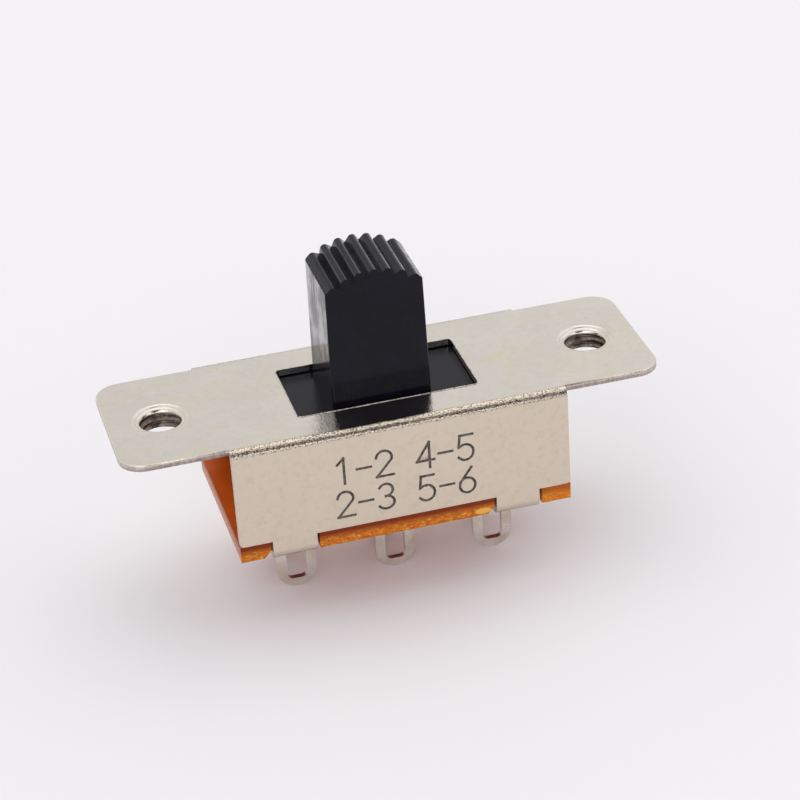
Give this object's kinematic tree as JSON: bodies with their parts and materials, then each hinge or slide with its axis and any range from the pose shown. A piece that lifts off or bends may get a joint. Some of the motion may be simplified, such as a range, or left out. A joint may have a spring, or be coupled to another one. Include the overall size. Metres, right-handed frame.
{
  "type": "slide switch",
  "caption": "Panel slide switch with a ridged knob, a folded sheet frame with threaded ears, a laminate terminal board and solder lugs with eyes.",
  "frame": {"origin": "middle of the plate's top face, halfway between the two threaded holes", "axes": "+X along the plate and the knob's travel, +Y across the plate, +Z out of the plate on the knob's side"},
  "size_m": [0.0348, 0.012, 0.022],
  "materials": {
    "nickel_plated_steel": "satin-bright nickel plate on cold-rolled sheet",
    "phenolic_laminate": "pressed phenolic paper laminate, glossy faces and grainy punched edges",
    "silvered_brass": "silver-plated brass, soft satin",
    "black_moulding": "satin-gloss black moulding",
    "contact_bronze": "bright rolled contact strip",
    "spring_steel": "drawn wire"
  },
  "bodies": {
    "switch_case": {"frame": "nickel_plated_steel", "terminal_board": "phenolic_laminate", "terminal_1": "silvered_brass", "terminal_2": "silvered_brass", "terminal_3": "silvered_brass", "terminal_4": "silvered_brass", "terminal_5": "silvered_brass", "terminal_6": "silvered_brass"},
    "slider": {"slide_knob": "black_moulding", "contact_bridge_front": "contact_bronze", "contact_bridge_rear": "contact_bronze", "contact_spring_front": "spring_steel", "contact_spring_rear": "spring_steel"}
  },
  "joints": [
    {"name": "knob_travel", "type": "slide", "parent": "switch_case", "child": "slider", "axis": [1, 0, 0], "range_m": [-0.0023, 0.0029]}
  ]
}
